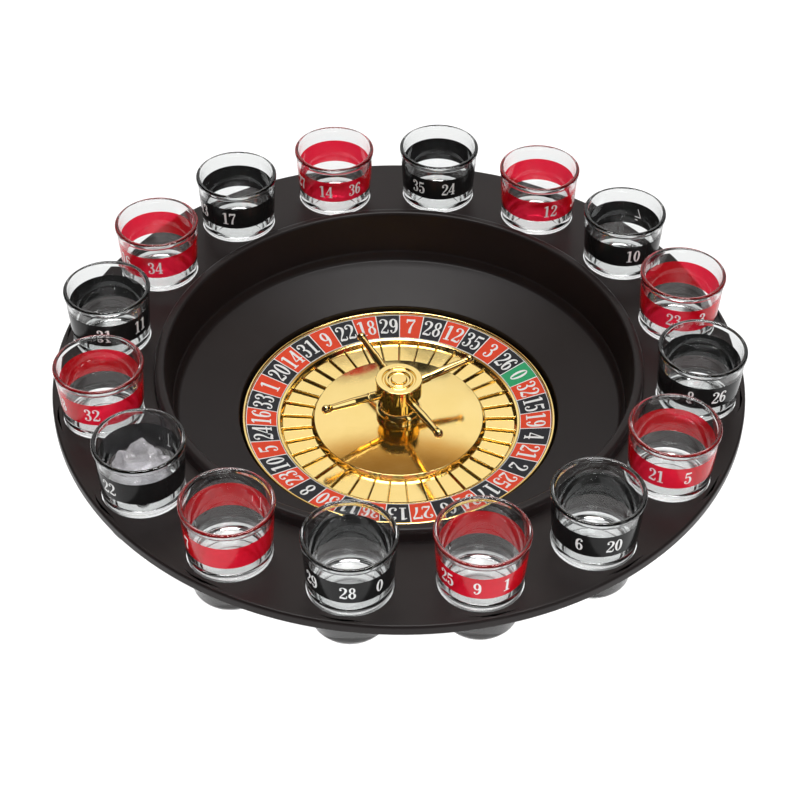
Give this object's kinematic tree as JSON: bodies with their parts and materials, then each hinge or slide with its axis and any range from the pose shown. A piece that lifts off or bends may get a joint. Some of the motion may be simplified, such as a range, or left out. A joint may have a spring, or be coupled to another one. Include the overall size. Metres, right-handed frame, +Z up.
{
  "type": "tabletop roulette set",
  "caption": "Round black tray with a spinning gold numbered wheel in a sunk well, a four-armed turret, and banded drinking glasses hanging in the deck's holes.",
  "frame": {"origin": "centre of the flat foot on the table, on the wheel's axis", "axes": "+Z up along the wheel's axis; -Y towards the two front glasses, +X to the right"},
  "size_m": [0.29, 0.29, 0.0668],
  "materials": {
    "black_plastic": "satin black moulded plastic",
    "gold_plating": "mirror-bright gold plating over moulded plastic",
    "printed_ring": "printed film in red, black and green fields",
    "glass_black_band": "clear polished glass with a printed black band",
    "glass_red_band": "clear polished glass with a printed red band",
    "clear_film": "thin clear film, crumpled",
    "steel": "turned steel",
    "ball_steel": "polished steel",
    "brass_cage": "pressed brass"
  },
  "bodies": {
    "tray": {"tray": "black_plastic", "spindle_post": "steel", "spindle_screw": "steel", "spindle_washer": "steel", "retaining_screw": "steel", "bearing_inner_ring": "steel"},
    "wheel": {"wheel_rotor": "gold_plating", "number_ring": "printed_ring", "bearing_outer_ring": "steel", "turret_column": "gold_plating", "turret_head": "gold_plating", "turret_cap": "gold_plating", "turret_screw": "steel", "turret_arm_1": "gold_plating", "turret_arm_2": "gold_plating", "turret_arm_3": "gold_plating", "turret_arm_4": "gold_plating"},
    "bearing_cage": {"bearing_cage": "brass_cage", "bearing_ball_1": "ball_steel", "bearing_ball_2": "ball_steel", "bearing_ball_3": "ball_steel", "bearing_ball_4": "ball_steel", "bearing_ball_5": "ball_steel", "bearing_ball_6": "ball_steel", "bearing_ball_7": "ball_steel"},
    "shot_glass_01": {"shot_glass_01": "glass_black_band"},
    "shot_glass_02": {"shot_glass_02": "glass_red_band"},
    "shot_glass_03": {"shot_glass_03": "glass_black_band"},
    "shot_glass_04": {"shot_glass_04": "glass_red_band"},
    "shot_glass_05": {"shot_glass_05": "glass_black_band"},
    "shot_glass_06": {"shot_glass_06": "glass_red_band"},
    "shot_glass_07": {"shot_glass_07": "glass_black_band"},
    "shot_glass_08": {"shot_glass_08": "glass_red_band"},
    "shot_glass_09": {"shot_glass_09": "glass_black_band"},
    "shot_glass_10": {"shot_glass_10": "glass_red_band"},
    "shot_glass_11": {"shot_glass_11": "glass_black_band"},
    "shot_glass_12": {"shot_glass_12": "glass_red_band"},
    "shot_glass_13": {"shot_glass_13": "glass_black_band"},
    "shot_glass_14": {"shot_glass_14": "glass_red_band"},
    "shot_glass_15": {"shot_glass_15": "glass_black_band"},
    "shot_glass_16": {"shot_glass_16": "glass_red_band"},
    "bag_of_balls": {"ball_bag": "clear_film", "game_ball_1": "ball_steel", "game_ball_2": "ball_steel"}
  },
  "joints": [
    {"name": "wheel_spin", "type": "hinge", "parent": "tray", "child": "wheel", "pos_m": [0, 0, 0.0068], "axis": [0, 0, 1], "continuous": true},
    {"name": "cage_spin", "type": "hinge", "parent": "tray", "child": "bearing_cage", "pos_m": [0, 0, 0.0068], "axis": [0, 0, 1], "continuous": true},
    {"name": "glass_01_lift", "type": "slide", "parent": "tray", "child": "shot_glass_01", "axis": [0, 0, 1], "range_m": [0, 0.05]},
    {"name": "glass_02_lift", "type": "slide", "parent": "tray", "child": "shot_glass_02", "axis": [0, 0, 1], "range_m": [0, 0.05]},
    {"name": "glass_03_lift", "type": "slide", "parent": "tray", "child": "shot_glass_03", "axis": [0, 0, 1], "range_m": [0, 0.05]},
    {"name": "glass_04_lift", "type": "slide", "parent": "tray", "child": "shot_glass_04", "axis": [0, 0, 1], "range_m": [0, 0.05]},
    {"name": "glass_05_lift", "type": "slide", "parent": "tray", "child": "shot_glass_05", "axis": [0, 0, 1], "range_m": [0, 0.05]},
    {"name": "glass_06_lift", "type": "slide", "parent": "tray", "child": "shot_glass_06", "axis": [0, 0, 1], "range_m": [0, 0.05]},
    {"name": "glass_07_lift", "type": "slide", "parent": "tray", "child": "shot_glass_07", "axis": [0, 0, 1], "range_m": [0, 0.05]},
    {"name": "glass_08_lift", "type": "slide", "parent": "tray", "child": "shot_glass_08", "axis": [0, 0, 1], "range_m": [0, 0.05]},
    {"name": "glass_09_lift", "type": "slide", "parent": "tray", "child": "shot_glass_09", "axis": [0, 0, 1], "range_m": [0, 0.05]},
    {"name": "glass_10_lift", "type": "slide", "parent": "tray", "child": "shot_glass_10", "axis": [0, 0, 1], "range_m": [0, 0.05]},
    {"name": "glass_11_lift", "type": "slide", "parent": "tray", "child": "shot_glass_11", "axis": [0, 0, 1], "range_m": [0, 0.05]},
    {"name": "glass_12_lift", "type": "slide", "parent": "tray", "child": "shot_glass_12", "axis": [0, 0, 1], "range_m": [0, 0.05]},
    {"name": "glass_13_lift", "type": "slide", "parent": "tray", "child": "shot_glass_13", "axis": [0, 0, 1], "range_m": [0, 0.05]},
    {"name": "glass_14_lift", "type": "slide", "parent": "tray", "child": "shot_glass_14", "axis": [0, 0, 1], "range_m": [0, 0.05]},
    {"name": "glass_15_lift", "type": "slide", "parent": "tray", "child": "shot_glass_15", "axis": [0, 0, 1], "range_m": [0, 0.05]},
    {"name": "glass_16_lift", "type": "slide", "parent": "tray", "child": "shot_glass_16", "axis": [0, 0, 1], "range_m": [0, 0.05]},
    {"name": "bag_lift", "type": "slide", "parent": "shot_glass_15", "child": "bag_of_balls", "axis": [0, 0, 1], "range_m": [0, 0.035]}
  ],
  "couplings": [
    {"joint": "cage_spin", "follows": "wheel_spin", "ratio": 0.579}
  ]
}
